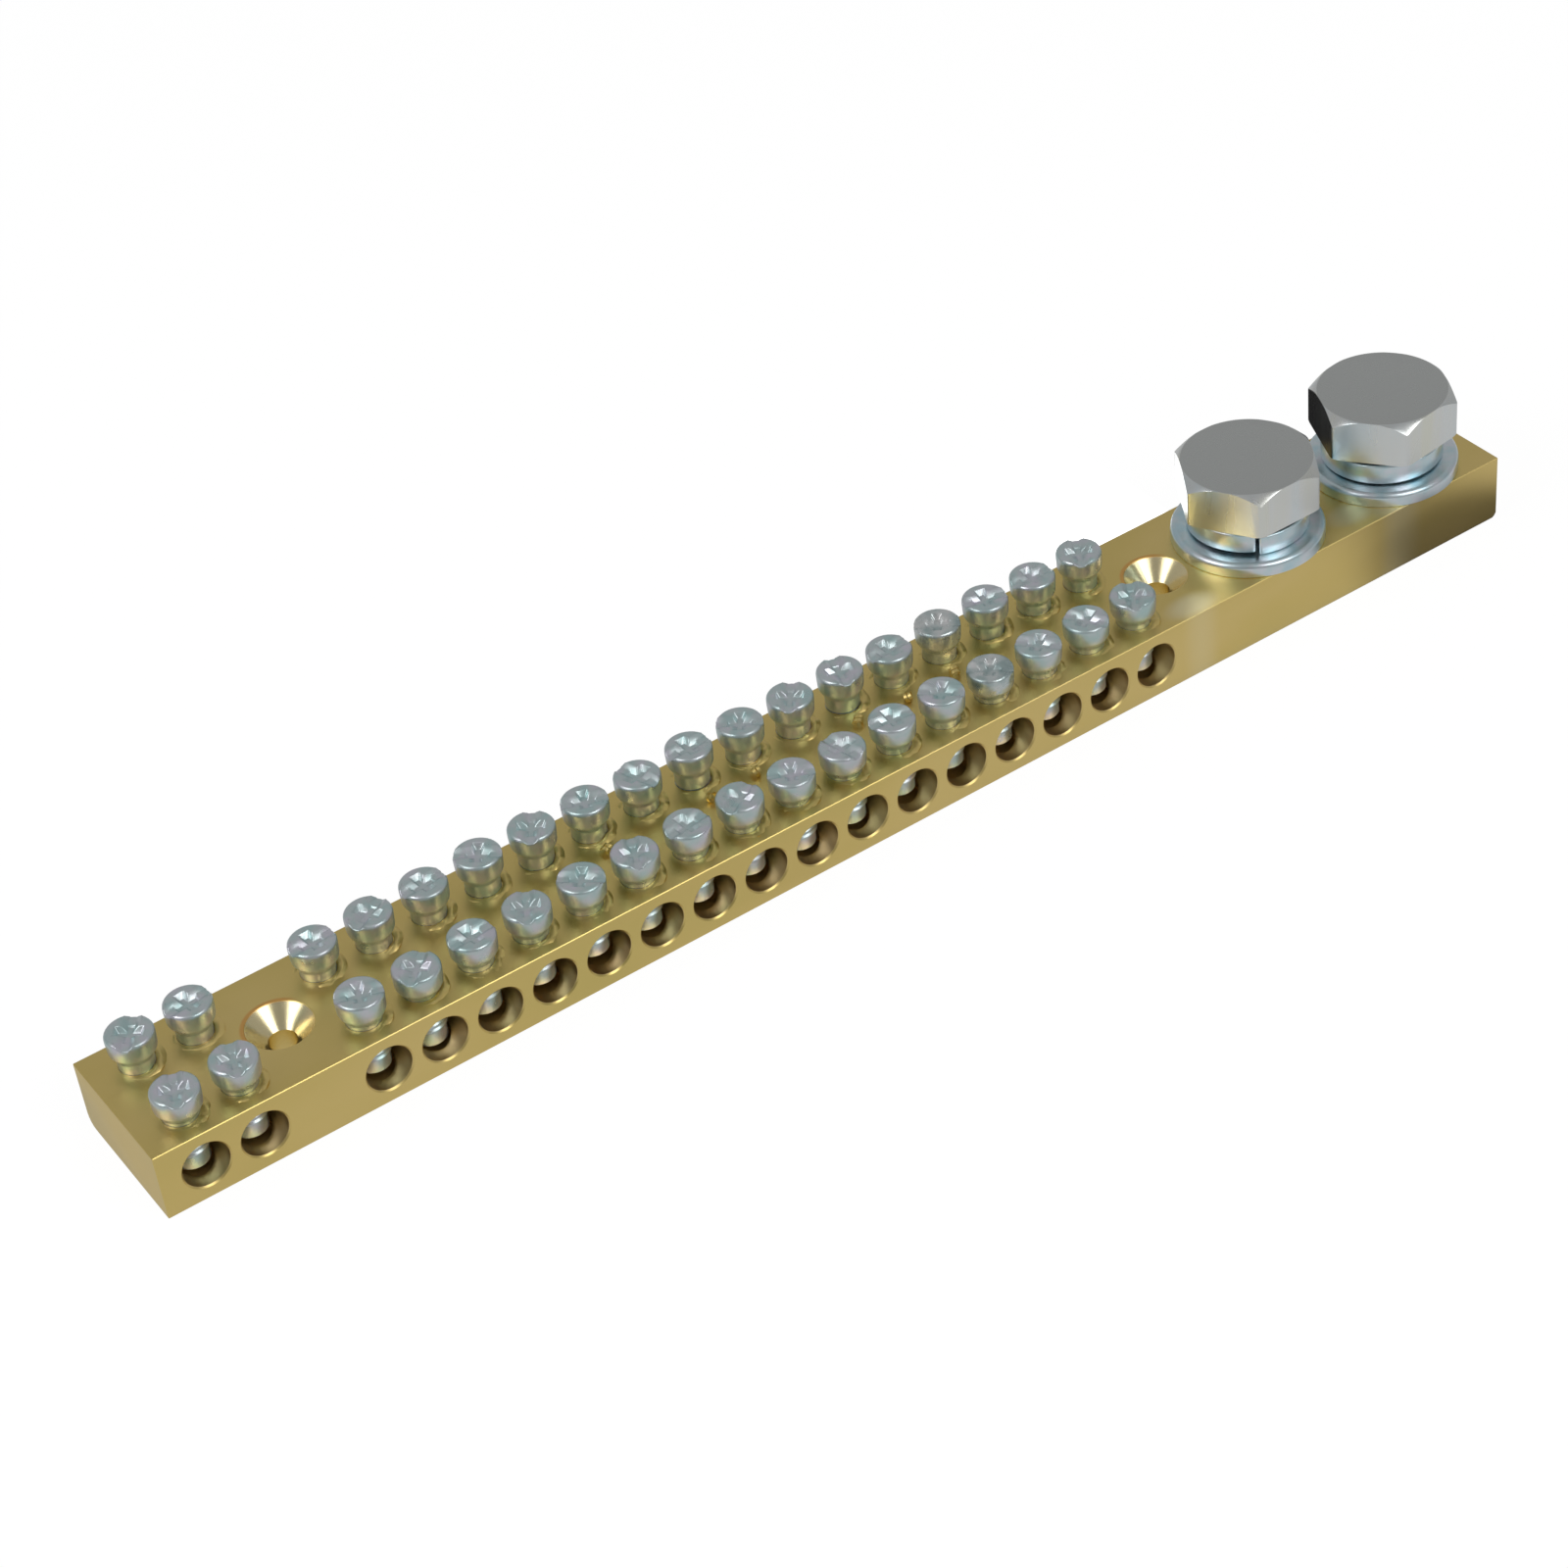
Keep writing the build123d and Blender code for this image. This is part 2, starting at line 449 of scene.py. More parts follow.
def countersink_masks(nodes, links, x, y, z):
    """Where the countersinks are, where their turned cones are, and the copper-coloured arc on their
    rims.
    """
    near = 0
    copper_arc = 0
    for centre in fixing_places:
        distance = distance_from(nodes, links, x, y, (centre, 0))
        inside_rim = fade(nodes, links, distance, 4.6 * MM, 4.3 * MM)
        near = calculate(nodes, links, "MAXIMUM", near, inside_rim)
        apart = calculate(nodes, links, "SUBTRACT", x, centre * MM)
        to_back_left = calculate(nodes, links, "MULTIPLY_ADD", apart, -0.5, y)
        arc = product(
            nodes, links,
            band(nodes, links, distance, 3.9 * MM, 4.15 * MM, 4.4 * MM, 4.75 * MM),
            fade(nodes, links, to_back_left, 0.0, 2.5 * MM),
        )
        copper_arc = calculate(nodes, links, "MAXIMUM", copper_arc, arc)
    below_top = fade(nodes, links, z, (BAR_HEIGHT - 0.03) * MM, (BAR_HEIGHT - 0.15) * MM)
    turned_cone = calculate(nodes, links, "MULTIPLY", near, below_top)
    return near, turned_cone, copper_arc


def drilled_mask(nodes, links, x, y, z, near):
    """The walls of the wire, screw and bolt holes, but not the skin or the countersinks."""
    return product(
        nodes, links,
        fade(nodes, links, calculate(nodes, links, "ABSOLUTE", y), 9.9 * MM, 9.75 * MM),
        fade(nodes, links, calculate(nodes, links, "ABSOLUTE", x), 99.0 * MM, 98.0 * MM),
        band(nodes, links, z, 0.1 * MM, 0.3 * MM, 8.6 * MM, 9.0 * MM),
        calculate(nodes, links, "SUBTRACT", 1, near),
    )


def make_brass():
    """Drawn brass with lines along X."""
    material, nodes, links, shader = new_material("drawn_brass", (0.80, 0.62, 0.22), 0.25)
    lines = noise(nodes, links, 1800, (0.02, 1, 1), 4)
    waves = noise(nodes, links, 110, (0.35, 1, 1), 2)
    ripples = noise(nodes, links, 330, (0.6, 1, 1), 2)
    patches = noise(nodes, links, 60, (0.5, 1, 1), 3)
    skin = ramp(nodes, links, patches, [
        (0.30, (0.74, 0.59, 0.20)),
        (0.50, (0.80, 0.62, 0.22)),
        (0.70, (0.85, 0.66, 0.26)),
    ])
    x, y, z = place_axes(nodes, links)
    near, turned_cone, copper_arc = countersink_masks(nodes, links, x, y, z)
    # The turned cones are bright fresh metal; the pale patches added below are painted highlights of
    # reflected light
    pale = turned_cone
    for place_x, place_y, strength in PAINTED_GLEAM_PLACES:
        distance = distance_from(nodes, links, x, y, (place_x, place_y), 0.6)
        painted_gleam = fade(nodes, links, distance, 2.9 * MM, 0.9 * MM)
        pale = calculate(
            nodes, links, "MAXIMUM", pale, calculate(nodes, links, "MULTIPLY", painted_gleam, strength)
        )
    copper = calculate(nodes, links, "MULTIPLY", copper_arc, 0.8)
    colour = tinted(nodes, links, skin, copper, (0.80, 0.42, 0.12))
    colour = tinted(nodes, links, colour, pale, (0.92, 0.80, 0.48))
    # Painted light inside the holes: their walls are tinted for the light bounced about in them
    painted_hole_light = drilled_mask(nodes, links, x, y, z, near)
    colour = tinted(nodes, links, colour, painted_hole_light, (0.82, 0.62, 0.30))
    links.new(colour, shader.inputs["Base Color"])
    drawn = spread(nodes, links, patches, 0.32, 0.42)
    rough = calculate(nodes, links, "MULTIPLY_ADD", turned_cone, -0.17, drawn)
    links.new(rough, shader.inputs["Roughness"])
    bump(nodes, links, shader, [(lines, 0.005, 0.35), (waves, 0.16, 0.3), (ripples, 0.03, 0.3)])
    return material


brass = make_brass()

# %% [markdown]
# Zinc plating is a soft grey metal with a thin clear passivation on it. The thin film
# tints it blue, lavender and here and there straw yellow. The tint drifts over a
# millimetre or two, so it is noise driven colour, different on every screw because
# each one stands somewhere else in the shared coordinates. The bolts are plated paler
# and are a darker grey on their tops. The one flat of the second bolt that faces the
# first carries a painted dark reflection: it is tinted nearly black for the dark
# surroundings it mirrors.

# %% Finishes: zinc plating
def make_zinc(name, stops, roughness, wave_height, stretch=(1, 1, 1), metallic=1.0):
    """Zinc plating whose tint wanders through the given colours."""
    material, nodes, links, shader = new_material(name, stops[1][1], roughness[0], metallic)
    tint = noise(nodes, links, 420, stretch, 3)
    dents = noise(nodes, links, 650, stretch, 2)
    grain = noise(nodes, links, 6000, (1, 1, 1), 2)
    links.new(ramp(nodes, links, tint, stops), shader.inputs["Base Color"])
    links.new(spread(nodes, links, dents, *roughness), shader.inputs["Roughness"])
    bump(nodes, links, shader, [(grain, 0.003, 0.3), (dents, wave_height, 0.5)])
    return material


zinc_screw = make_zinc(
    "zinc_screw",
    [(0.34, (0.50, 0.66, 0.66)), (0.50, (0.60, 0.68, 0.69)), (0.66, (0.68, 0.68, 0.75))],
    (0.27, 0.40),
    0.06,
    metallic=0.8,
)
galled_screw = make_zinc(
    "galled_screw",
    [(0.34, (0.40, 0.50, 0.50)), (0.50, (0.62, 0.68, 0.68)), (0.66, (0.76, 0.76, 0.76))],
    (0.22, 0.40),
    0.35,
    metallic=0.8,
)
zinc_washer = make_zinc(
    "zinc_washer",
    [(0.34, (0.58, 0.76, 0.83)), (0.50, (0.68, 0.80, 0.84)), (0.66, (0.78, 0.82, 0.88))],
    (0.28, 0.38),
    0.02,
)


def painted_dark_flat_mask(nodes, links, x, y):
    """The flat of the second bolt that faces the first, where a dark reflection is painted."""
    centre_x, centre_y = bolt_places[1]
    facing = math.radians(150 + BOLT_TURNS[1])
    middle_across = (centre_x * math.cos(facing) + centre_y * math.sin(facing)) * MM
    across = calculate(
        nodes, links, "MULTIPLY_ADD", x, math.cos(facing),
        calculate(nodes, links, "MULTIPLY_ADD", y, math.sin(facing), -middle_across),
    )
    flat = ACROSS_FLATS / 2
    edges = [(flat + step) * MM for step in (-0.12, -0.04, 0.2, 0.3)]
    return band(nodes, links, across, *edges)


def make_bolt_zinc():
    """Grey plating with faint straw and blue, darker on the top, a painted dark reflection on one
    flat.
    """
    stops = [(0.32, (0.79, 0.80, 0.72)), (0.50, (0.79, 0.81, 0.80)), (0.68, (0.75, 0.81, 0.83))]
    material = make_zinc("zinc_bolt", stops, (0.24, 0.32), 0.02, (0.5, 0.5, 0.08))
    nodes, links = material.node_tree.nodes, material.node_tree.links
    shader = nodes["Principled BSDF"]
    plating = shader.inputs["Base Color"].links[0].from_socket
    x, y, z = place_axes(nodes, links)
    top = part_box("bolt_1")[1].z
    on_top = fade(nodes, links, z, top - 0.06 * MM, top - 0.02 * MM)
    colour = tinted(nodes, links, plating, on_top, (0.58, 0.60, 0.59))
    painted_dark_reflection = painted_dark_flat_mask(nodes, links, x, y)
    # Painted dark reflection: the flat facing the first bolt is tinted near black for the dark
    # surroundings it mirrors
    colour = tinted(nodes, links, colour, painted_dark_reflection, (0.04, 0.042, 0.04))
    links.new(colour, shader.inputs["Base Color"])
    return material


zinc_bolt = make_bolt_zinc()

# %% [markdown]
# The bar starts as one block. Two lower corners are knocked round, as in the
# photograph, and the edges are broken with one flat facet, which throws back the
# bright line along the top. The cuts follow the real order of work: first the wire
# holes from front to back, with their rims flared, then the screw holes from above
# with the drill's point just marking the floor, then the countersunk holes and the
# bolt holes. A boolean cut keeps the crossing of two drills true, which extruded
# faces could not.

# %% The brass bar
def crosswise(piece):
    """Turn a tool that was made along Z so that it points along Y."""
    make_active(piece)
    piece.rotation_euler = (math.radians(90), 0, 0)
    bpy.ops.object.transform_apply(location=True, rotation=True, scale=True)


def wear_corner(piece, corner, width):
    """Round one corner of a block, as a knock on the bench does."""
    make_active(piece)
    bpy.ops.object.mode_set(mode="EDIT")
    bpy.ops.mesh.select_all(action="DESELECT")
    bpy.ops.object.mode_set(mode="OBJECT")
    point = Vector(corner) * MM
    for vertex in piece.data.vertices:
        vertex.select = (vertex.co - point).length < 0.01 * MM
    bpy.ops.object.mode_set(mode="EDIT")
    bpy.ops.mesh.bevel(offset=width * MM, segments=4, affect="VERTICES")
    bpy.ops.object.mode_set(mode="OBJECT")


def make_bar():
    """The bar with all its holes."""
    half_length, half_width = BAR_LENGTH / 2, BAR_WIDTH / 2
    bar = block("bar_body", (-half_length, -half_width, 0), (half_length, half_width, BAR_HEIGHT))
    wear_corner(bar, (-half_length, half_width, 0), LEFT_CORNER_WEAR)
    wear_corner(bar, (half_length, -half_width, 0), RIGHT_CORNER_WEAR)
    break_edges(bar, LONG_EDGE, segments=1)

    reach = half_width + 1
    rim = WIRE_RIM_RADIUS - WIRE_HOLE_RADIUS
    drills = []
    for x in wire_places:
        outline = [(0, -reach), (WIRE_RIM_RADIUS, -reach), (WIRE_RIM_RADIUS, -half_width)]
        outline += [(WIRE_HOLE_RADIUS, rim - half_width), (WIRE_HOLE_RADIUS, half_width - rim)]
        outline += [(WIRE_RIM_RADIUS, half_width), (WIRE_RIM_RADIUS, reach), (0, reach)]
        drill = turned("wire_drill", outline, 72)
        crosswise(drill)
        drill.location = (x * MM, 0, WIRE_HOLE_HEIGHT * MM)
        make_active(drill)
        bpy.ops.object.transform_apply(location=True, rotation=True, scale=True)
        drills.append(drill)
    combine(bar, join(drills))

    over = BAR_HEIGHT + 1
    outline = [
        (0, SCREW_HOLE_END - DRILL_POINT),
        (SCREW_HOLE_RADIUS, SCREW_HOLE_END),
        (SCREW_HOLE_RADIUS, BAR_HEIGHT - 0.6),
        (SCREW_HOLE_MOUTH, BAR_HEIGHT - 0.35),
        (SCREW_HOLE_MOUTH, over),
        (0, over),
    ]
    drills = []
    for x in wire_places:
        for y in (front_row, back_row):
            drills.append(turned("screw_drill", outline, 56, (x, y, 0)))
    combine(bar, join(drills))

    cone_depth = FIXING_RIM_RADIUS - FIXING_BORE_RADIUS
    outline = [
        (0, -1),
        (FIXING_BORE_RADIUS, -1),
        (FIXING_BORE_RADIUS, BAR_HEIGHT - cone_depth),
        (FIXING_RIM_RADIUS, BAR_HEIGHT),
        (FIXING_RIM_RADIUS, over),
        (0, over),
    ]
    drills = [turned("countersink", outline, 72, (x, 0, 0)) for x in fixing_places]
    outline = [(0, -1), (BOLT_HOLE_RADIUS, -1), (BOLT_HOLE_RADIUS, over), (0, over)]
    drills += [turned("bolt_drill", outline, 72, (x, y, 0)) for x, y in bolt_places]
    combine(bar, join(drills))
    smooth(bar, 30)
    return bar


bar = make_bar()
print("bar faces:", len(bar.data.polygons))

# %% [markdown]
# Tapping soft brass draws its skin up round each hole into a low ragged ring, and
# nobody has filed these off. They matter to the eye, because their inner slope throws
# the light back as a bright streak beside each neck. A ring is turned for each row and
# copied to its holes, and a Displace modifier with a cloud texture roughs all of them
# up at once, each differently. A few curls of swarf lie between the rows: a thin strip
# wound by the Screw modifier and laid on its side. Burrs and swarf are brass and belong
# to the bar.

# %% Burrs and swarf
def make_burr(crest):
    """A closed ring whose crest stands a little over the bar."""
    inner = SCREW_HOLE_MOUTH
    outline = [
        (inner, -0.5),
        (inner, 0.03),
        (inner + 0.20, crest * 0.6),
        (inner + 0.50, crest),
        (inner + 0.72, crest * 0.9),
        (inner + 0.98, crest * 0.3),
        (inner + 1.20, -0.08),
        (inner + 0.90, -0.5),
        (inner, -0.5),
    ]
    ring = turned("burr", outline, 40)
    make_active(ring)
    ring.rotation_euler = (0, math.radians(-5), 0)
    bpy.ops.object.transform_apply(location=True, rotation=True, scale=True)
    return ring


def add_burrs():
    """Rings round all 36 screw holes, as one piece."""
    rings = []
    for y, crest in ((front_row, 0.16), (back_row, 0.28)):
        model = make_burr(crest)
        for x in wire_places:
            rings.append(copied(model, "burr", (x, y, BAR_HEIGHT)))
        bpy.data.objects.remove(model, do_unlink=True)
    burrs = join(rings)
    clouds = bpy.data.textures.new("ragged", "CLOUDS")
    clouds.noise_scale = 1.3 * MM
    clouds.noise_depth = 2
    ragged = burrs.modifiers.new("ragged", "DISPLACE")
    ragged.texture = clouds
    ragged.texture_coords = "LOCAL"
    ragged.direction = "Z"
    ragged.mid_level = 0.62
    ragged.strength = 0.9 * MM
    make_active(burrs)
    bpy.ops.object.modifier_apply(modifier=ragged.name)
    smooth(burrs, 60)
    return burrs


def add_swarf():
    """Small brass curls that the tap left lying between the rows."""
    section, radius, angle, climb = (0.12, 0.4), 0.6, 520, 0.8
    lean, rest = 68, 0.35
    curl = wound("swarf", section, (radius, 0), math.radians(angle), climb, 40)
    curl.rotation_euler = (math.radians(lean), 0, 0)
    bpy.ops.object.transform_apply(location=True, rotation=True, scale=True)
    smooth(curl, 60)
    curls = [copied(curl, "swarf", (x, y, BAR_HEIGHT + rest), turn) for x, y, turn in SWARF]
    bpy.data.objects.remove(curl, do_unlink=True)
    return join(curls)


burrs = add_burrs()
swarf = add_swarf()
print("burr and swarf faces:", len(burrs.data.polygons), len(swarf.data.polygons))
bar = join([bar, burrs, swarf])
fit(bar, "bar", brass)

# %% [markdown]
# A clamping screw is turned in one outline from its rounded head down to the neck. Two
# rings close together under the rim keep the shading of the notches from running down
# the side. The slot and the tapered cross of the combined drive are cut next, and their
# edges softened as plating softens them. The thread is wound separately: one groove of
# outline climbs a pitch each turn with the Screw modifier, is cut off flat at both
# ends, and is then united with the neck and with a smooth dog point that presses the
# wire.

# %% One clamping screw
def make_thread():
    """A threaded rod from the lower end of the neck to the dog point, closed at both ends."""
    root = THREAD_RADIUS - 0.24
    crest = THREAD_RADIUS - 0.04
    start = -SCREW_LENGTH - THREAD_PITCH
    rod = traced("thread", [
        (root, start),
        (root, start + 0.15),
        (crest, start + 0.38),
        (crest, start + 0.57),
        (root, start + THREAD_PITCH),
    ])
    bpy.ops.object.mode_set(mode="OBJECT")
    winding = rod.modifiers.new("winding", "SCREW")
    winding.steps = 36
    winding.render_steps = 36
    winding.screw_offset = THREAD_PITCH * MM
    winding.iterations = 9
    winding.use_merge_vertices = True
    winding.merge_threshold = 0.001 * MM
    make_active(rod)
    bpy.ops.object.modifier_apply(modifier=winding.name)
    bpy.ops.object.mode_set(mode="EDIT")
    for height, keep_above in ((DOG_LENGTH - SCREW_LENGTH, True), (-NECK_LENGTH - 0.3, False)):
        bpy.ops.mesh.select_all(action="SELECT")
        bpy.ops.mesh.bisect(
            plane_co=(0, 0, height * MM),
            plane_no=(0, 0, 1),
            use_fill=True,
            clear_inner=keep_above,
            clear_outer=not keep_above,
        )
    bpy.ops.mesh.select_all(action="SELECT")
    bpy.ops.mesh.remove_doubles(threshold=0.001 * MM)
    bpy.ops.mesh.normals_make_consistent(inside=False)
    bpy.ops.object.mode_set(mode="OBJECT")
    return rod


def recess(length, width, depth, slope, turn=0.0):
    """A tool for one arm of the drive: a block from above the head, narrowing downwards."""
    above = 0.5
    spread_up = above * math.tan(math.radians(slope))
    spread_down = depth * math.tan(math.radians(slope))
    top_length, top_width = length / 2 + spread_up, width / 2 + spread_up
    tool = block(
        "recess",
        (-top_length, -top_width, HEAD_HEIGHT - depth),
        (top_length, top_width, HEAD_HEIGHT + above),
    )
    bpy.ops.object.mode_set(mode="EDIT")
    bpy.ops.mesh.select_mode(type="FACE")
    bpy.ops.mesh.select_all(action="DESELECT")
    bpy.ops.object.mode_set(mode="OBJECT")
    for face in tool.data.polygons:
        face.select = face.normal.z < -0.9
    bpy.ops.object.mode_set(mode="EDIT")
    foot = (
        (length / 2 - spread_down) / top_length,
        (width / 2 - spread_down) / top_width,
        1,
    )
    bpy.ops.transform.resize(value=foot, center_override=(0, 0, (HEAD_HEIGHT - depth) * MM))
    bpy.ops.mesh.select_mode(type="VERT")
    bpy.ops.object.mode_set(mode="OBJECT")
    make_active(tool)
    tool.rotation_euler = (0, 0, math.radians(turn))
    bpy.ops.object.transform_apply(location=True, rotation=True, scale=True)
    return tool


def make_screw():
    """The model screw, its origin on the underside of its head."""
    rim = rounded_rim(HEAD_RADIUS, HEAD_HEIGHT, HEAD_ROUNDING, (90, 67.5, 45, 22.5, 0))
    outline = [
        (0, HEAD_HEIGHT),
        *rim,
        (HEAD_RADIUS, 2.05),
        (HEAD_RADIUS, 1.85),
        (HEAD_RADIUS - 0.07, 0.60),
        (HEAD_RADIUS - 0.11, 0.42),
        (HEAD_RADIUS - 0.22, 0.20),
        (NECK_RADIUS + 0.30, -0.20),
        (NECK_RADIUS + 0.12, -0.45),
        (NECK_RADIUS + 0.02, -0.68),
        (NECK_RADIUS, -0.8),
        (NECK_RADIUS, -NECK_LENGTH),
        (NECK_RADIUS - 0.3, -NECK_LENGTH - 0.4),
        (0, -NECK_LENGTH - 0.4),
    ]
    screw = turned("screw_model", outline, 36)
    combine(screw, recess(4 * HEAD_RADIUS, SLOT_WIDTH, SLOT_DEPTH, SLOT_SLOPE))
    for turn in (0, 90):
        combine(screw, recess(CROSS_LENGTH, CROSS_WIDTH, CROSS_DEPTH, CROSS_SLOPE, turn))
    break_edges(screw, 0.13, angle=27, segments=3, clamp=False)
    combine(screw, make_thread(), "UNION")
    outline = [
        (0, -SCREW_LENGTH),
        (DOG_RADIUS - 0.55, -SCREW_LENGTH),
        (DOG_RADIUS - 0.35, 0.06 - SCREW_LENGTH),
        (DOG_RADIUS, 0.42 - SCREW_LENGTH),
        (DOG_RADIUS, DOG_LENGTH - SCREW_LENGTH + 0.5),
        (0, DOG_LENGTH - SCREW_LENGTH + 0.5),
    ]
    combine(screw, turned("dog_point", outline, 64), "UNION")
    smooth(screw, 40)
    return screw


screw_model = make_screw()
print("screw faces:", len(screw_model.data.polygons))
for row, turns in (("front", FRONT_TURNS), ("back", BACK_TURNS)):
    for number, turn in enumerate(turns, 1):
        node = f"terminal_screw_{row}_{number:02d}"
        x, y = middle(node)
        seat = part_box(node)[1].z / MM - HEAD_HEIGHT
        screw = copied(screw_model, f"clamp_screw_{row}_{number:02d}", (x, y, seat), turn)
        galled = f"{row}_{number:02d}" in GALLED_SCREWS
        fit(screw, node, galled_screw if galled else zinc_screw)
bpy.data.objects.remove(screw_model, do_unlink=True)

# %% [markdown]
# The flat washers are punched, so their upper rim is drawn over round and their lower
# rim stays sharp. A spring washer is square wire wound as less than one turn that
# climbs: the Screw modifier does both at once. A small gap is left at its split.

# %% Washers
FLAT_RADIUS, FLAT_BORE, FLAT_THICKNESS, FLAT_ROUNDING = 10.0, 5.25, 2.0, 0.8
SPRING_WIDTH, SPRING_HEIGHT, SPRING_RISE, SPRING_SPLIT = 2.6, 2.85, 0.5, 0.45
SPRING_INNER = 5.4
SPRING_TURNS = (-121.0, 60.0)


def make_flat_washer():
    """A punched washer lying on height zero."""
    rim = rounded_rim(FLAT_RADIUS, FLAT_THICKNESS, FLAT_ROUNDING, range(0, 91, 15))
    outline = [
        (FLAT_BORE, 0),
        (FLAT_RADIUS - 0.1, 0),
        (FLAT_RADIUS, 0.1),
        *rim,
        (FLAT_BORE + 0.1, FLAT_THICKNESS),
        (FLAT_BORE, FLAT_THICKNESS - 0.1),
        (FLAT_BORE, 0),
    ]
    washer = turned("washer_model", outline, 96)
    smooth(washer, 40)
    return washer


def make_spring_washer():
    """A split ring of square wire that starts on height zero and climbs once round."""
    gap = SPRING_SPLIT / (SPRING_INNER + SPRING_WIDTH)
    centre = (SPRING_INNER + SPRING_WIDTH / 2, SPRING_HEIGHT / 2)
    section = (SPRING_WIDTH, SPRING_HEIGHT)
    ring = wound("spring_model", section, centre, 2 * math.pi - gap, SPRING_RISE, 120)
    ring.rotation_euler = (0, 0, gap / 2)
    make_active(ring)
    bpy.ops.object.transform_apply(location=True, rotation=True, scale=True)
    break_edges(ring, 0.3, segments=4)
    smooth(ring, 40)
    return ring


flat_model = make_flat_washer()
spring_model = make_spring_washer()
print("washer faces:", len(flat_model.data.polygons), len(spring_model.data.polygons))
for number, (x, y) in enumerate(bolt_places, 1):
    seat = BAR_HEIGHT
    washer = copied(flat_model, f"flat_washer_body_{number}", (x, y, seat))
    fit(washer, f"flat_washer_{number}", zinc_washer)
    seat += FLAT_THICKNESS
    turn = SPRING_TURNS[number - 1]
    spring = copied(spring_model, f"spring_washer_body_{number}", (x, y, seat), turn)
    fit(spring, f"spring_washer_{number}", zinc_washer)
bpy.data.objects.remove(flat_model, do_unlink=True)
bpy.data.objects.remove(spring_model, do_unlink=True)

# %% [markdown]
# A forged hexagon head is a six-sided prism whose top corners are turned off by a cone.
# Where the cone meets the flats it leaves the shallow arcs that show on every bolt
# head. So the head is the part that a six-sided prism and a turned blank have in
# common, and the blank also brings the washer face and the shank.

# %% Main bolts
def make_bolt():
    """A hex bolt, its origin on the seat under its head."""
    corner_radius = ACROSS_FLATS / 2 / math.cos(math.radians(30))
    outline = [
        (0, FACE_HEIGHT),
        (corner_radius - 0.35, FACE_HEIGHT),
        (corner_radius + 0.2, FACE_HEIGHT + 0.32),
        (corner_radius + 0.2, BOLT_HEAD - CORNER_DROP - 0.2),
        (corner_radius - CORNER_DROP + 0.1, BOLT_HEAD - 0.1),
        (corner_radius - CORNER_DROP - 0.15, BOLT_HEAD),
        (0, BOLT_HEAD),
    ]
    blank = turned("blank", outline, 144)
    deselect()
    bpy.ops.mesh.primitive_cylinder_add(
        vertices=6,
        radius=corner_radius * MM,
        depth=20 * MM,
        rotation=(0, 0, math.radians(30)),
    )
    prism = bpy.context.object
    prism.name = "bolt_model"
    bpy.ops.object.transform_apply(location=True, rotation=True, scale=True)
    break_edges(prism, 0.25, segments=3)
    combine(prism, blank, "INTERSECT")
    outline = [
        (0, FACE_HEIGHT + 1),
        (FACE_RADIUS, FACE_HEIGHT + 1),
        (FACE_RADIUS, 0.1),
        (FACE_RADIUS - 0.1, 0),
        (BOLT_RADIUS, 0),
        (BOLT_RADIUS, 1 - BOLT_LENGTH),
        (BOLT_RADIUS - 1, -BOLT_LENGTH),
        (0, -BOLT_LENGTH),
    ]
    combine(prism, turned("shank", outline, 96), "UNION")
    smooth(prism, 25)
    return prism


bolt_model = make_bolt()
print("bolt faces:", len(bolt_model.data.polygons))
for number, (x, y) in enumerate(bolt_places, 1):
    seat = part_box(f"bolt_{number}")[0].z / MM + BOLT_LENGTH
    bolt = copied(bolt_model, f"hex_bolt_{number}", (x, y, seat), BOLT_TURNS[number - 1])
    fit(bolt, f"bolt_{number}", zinc_bolt)
bpy.data.objects.remove(bolt_model, do_unlink=True)

# %% [markdown]
# The floor is white paper. It is mostly its own white for the camera, with a share of
# plain diffuse paper so that the bar keeps a soft contact shadow. Metal shows its
# surroundings, so the look of the bar is made by what it reflects: the paper is dimmer
# in reflections than for the camera, darker in front of the right end and behind the
# second bolt, and lighter behind the first. The world is a pale studio, white where
# the camera looks and graded for the light and the reflections, with two soft panels.

# %% Floor, studio and camera
# Zones of the paper that only reflections show, in metres: start, full, still, end
LIGHT_ALONG, LIGHT_ACROSS = (0.045, 0.055, 0.067, 0.070), (0.010, 0.016, 0.042, 0.052)
DARK_ALONG, DARK_ACROSS = (0.070, 0.073, 0.104, 0.112), (0.010, 0.014, 0.050, 0.060)
FRONT_DIMMING, BACK_DIMMING, BACK_LIGHT = -0.47, -0.55, 1.7

# How white the paper is in reflections and for the camera, and how much of that is its own light
PAPER_REFLECTED, PAPER_SEEN, OWN_LIGHT = 0.56, 1.06, 0.9

# The studio's strength, low and near the camera, and high behind the bar
STUDIO_LOW, STUDIO_HIGH = 0.28, 0.48


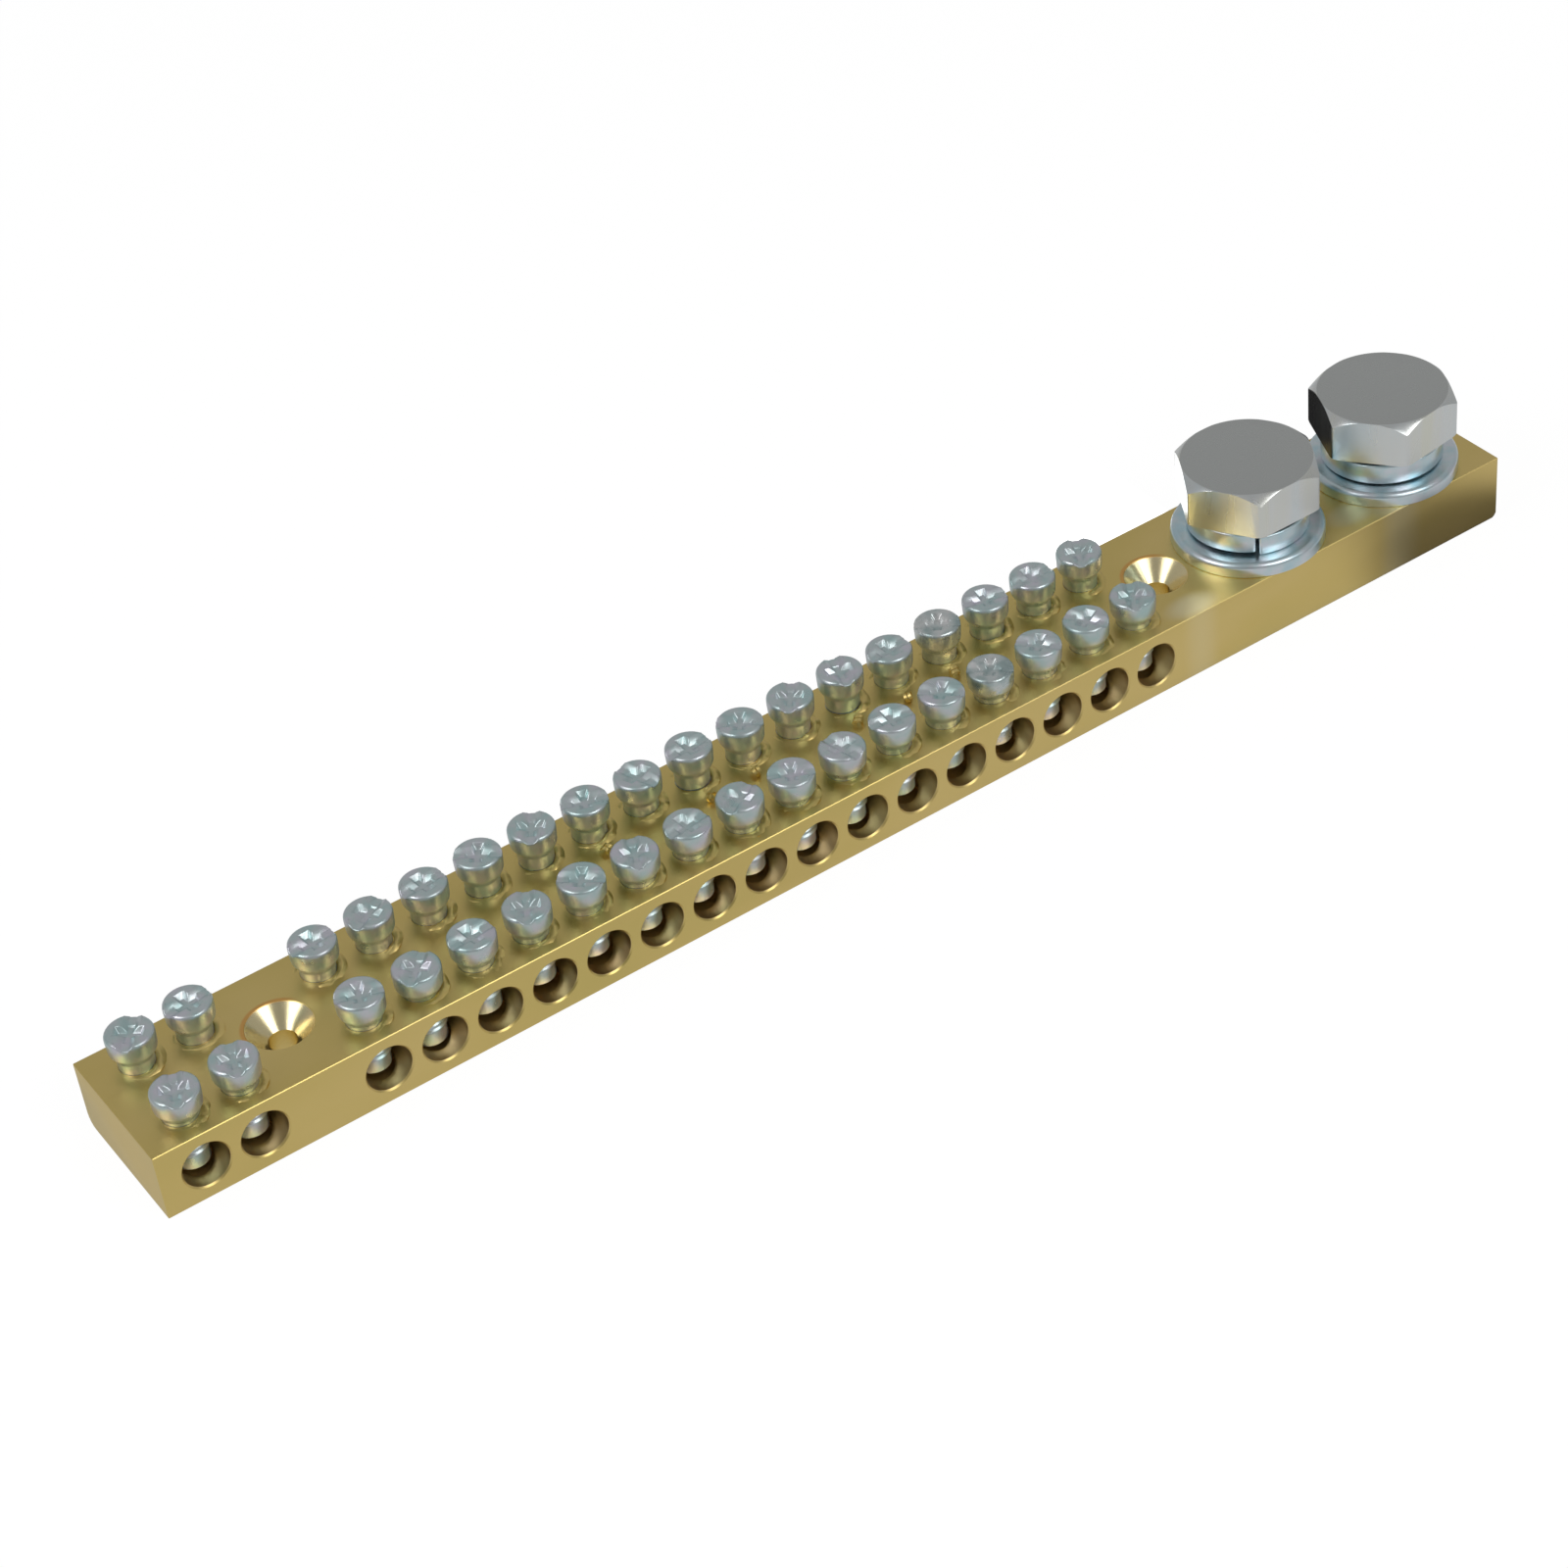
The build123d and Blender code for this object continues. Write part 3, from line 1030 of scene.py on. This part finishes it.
def make_floor():
    """White paper under the bar, with zones that only reflections show."""
    deselect()
    bpy.ops.mesh.primitive_plane_add(size=4, location=(0, 0, -0.0001))
    floor = bpy.context.object
    floor.name = "paper_floor"
    bpy.ops.object.transform_apply(location=True, rotation=True, scale=True)
    material = bpy.data.materials.new("white_paper")
    material.use_nodes = True
    nodes, links = material.node_tree.nodes, material.node_tree.links
    nodes.clear()
    output = nodes.new("ShaderNodeOutputMaterial")
    paper = nodes.new("ShaderNodeBsdfDiffuse")
    paper.inputs["Color"].default_value = (0.85, 0.85, 0.85, 1)
    glow = nodes.new("ShaderNodeEmission")
    rays = nodes.new("ShaderNodeLightPath")
    blend = nodes.new("ShaderNodeMixShader")

    # The dim zone is a triangle before the right end that narrows towards the front
    x, y = place_axes(nodes, links)[:2]
    forward = calculate(nodes, links, "ADD", y, BAR_WIDTH / 2 * MM)
    along = calculate(nodes, links, "MULTIPLY_ADD", forward, 0.58, x)
    outer = calculate(nodes, links, "MULTIPLY_ADD", forward, -0.92, x)
    dim_front = product(
        nodes, links,
        fade(nodes, links, along, 0.073, 0.087),
        fade(nodes, links, outer, 0.113, 0.104),
        fade(nodes, links, y, 0.006, 0.0),
    )
    light_behind = product(
        nodes, links,
        band(nodes, links, x, *LIGHT_ALONG),
        band(nodes, links, y, *LIGHT_ACROSS),
    )
    dark_behind = product(
        nodes, links,
        band(nodes, links, x, *DARK_ALONG),
        band(nodes, links, y, *DARK_ACROSS),
    )
    reflected = calculate(nodes, links, "MULTIPLY_ADD", dim_front, FRONT_DIMMING, PAPER_REFLECTED)
    reflected = calculate(nodes, links, "MULTIPLY_ADD", dark_behind, BACK_DIMMING, reflected)
    reflected = calculate(nodes, links, "MULTIPLY_ADD", light_behind, BACK_LIGHT, reflected)
    seen = calculate(nodes, links, "MULTIPLY", rays.outputs["Is Camera Ray"], PAPER_SEEN)
    shown = calculate(nodes, links, "MAXIMUM", seen, reflected)
    links.new(shown, glow.inputs["Strength"])
    either = calculate(
        nodes, links, "MAXIMUM", rays.outputs["Is Camera Ray"], rays.outputs["Is Glossy Ray"]
    )
    links.new(calculate(nodes, links, "MULTIPLY", either, OWN_LIGHT), blend.inputs["Fac"])
    links.new(paper.outputs[0], blend.inputs[1])
    links.new(glow.outputs[0], blend.inputs[2])
    links.new(blend.outputs[0], output.inputs["Surface"])
    floor.data.materials.append(material)


def make_world():
    """White for the camera, a pale graded studio for the light and the reflections."""
    world = bpy.data.worlds.new("studio")
    bpy.context.scene.world = world
    world.use_nodes = True
    nodes, links = world.node_tree.nodes, world.node_tree.links
    nodes.clear()
    output = nodes.new("ShaderNodeOutputWorld")
    white = nodes.new("ShaderNodeBackground")
    white.inputs["Color"].default_value = (1, 1, 1, 1)
    studio = nodes.new("ShaderNodeBackground")
    rays = nodes.new("ShaderNodeLightPath")
    blend = nodes.new("ShaderNodeMixShader")
    place = nodes.new("ShaderNodeTexCoord")
    aim = nodes.new("ShaderNodeVectorMath")
    aim.operation = "DOT_PRODUCT"
    aim.inputs[1].default_value = Vector((0.45, 0.77, 0.45)).normalized()
    shade = nodes.new("ShaderNodeMapRange")
    shade.inputs["From Min"].default_value = -0.7
    shade.inputs["From Max"].default_value = 0.9
    shade.inputs["To Min"].default_value = STUDIO_LOW
    shade.inputs["To Max"].default_value = STUDIO_HIGH
    links.new(place.outputs["Generated"], aim.inputs[0])
    links.new(aim.outputs["Value"], shade.inputs["Value"])
    links.new(shade.outputs["Result"], studio.inputs["Strength"])
    links.new(rays.outputs["Is Camera Ray"], blend.inputs["Fac"])
    links.new(studio.outputs[0], blend.inputs[1])
    links.new(white.outputs[0], blend.inputs[2])
    links.new(blend.outputs[0], output.inputs["Surface"])


def add_panel(name, place, size, power):
    """A soft light panel, in metres, pointed at the middle of the bar."""
    data = bpy.data.lights.new(name, "AREA")
    data.shape = "RECTANGLE"
    data.size, data.size_y = size
    data.energy = power
    panel = bpy.data.objects.new(name, data)
    bpy.context.scene.collection.objects.link(panel)
    panel.location = place
    panel.rotation_euler = (-Vector(place)).to_track_quat("-Z", "Y").to_euler()


def make_camera():
    """The camera of the photograph, from the lines of the bar and the rows of holes."""
    data = bpy.data.cameras.new("camera")
    data.lens = 83.39
    data.sensor_width = 36
    camera = bpy.data.objects.new("camera", data)
    bpy.context.scene.collection.objects.link(camera)
    camera.location = (-0.18258, -0.29740, 0.28634)
    camera.rotation_euler = [math.radians(a) for a in (50.739, 5.437, -34.796)]
    bpy.context.scene.camera = camera


make_floor()
make_world()
add_panel("left_panel", (-0.62, 0.02, 0.56), (0.42, 0.42), 1.5)
add_panel("right_panel", (0.18, -0.66, 0.60), (0.5, 0.4), 1.8)
make_camera()
bpy.context.scene.view_settings.view_transform = "Standard"
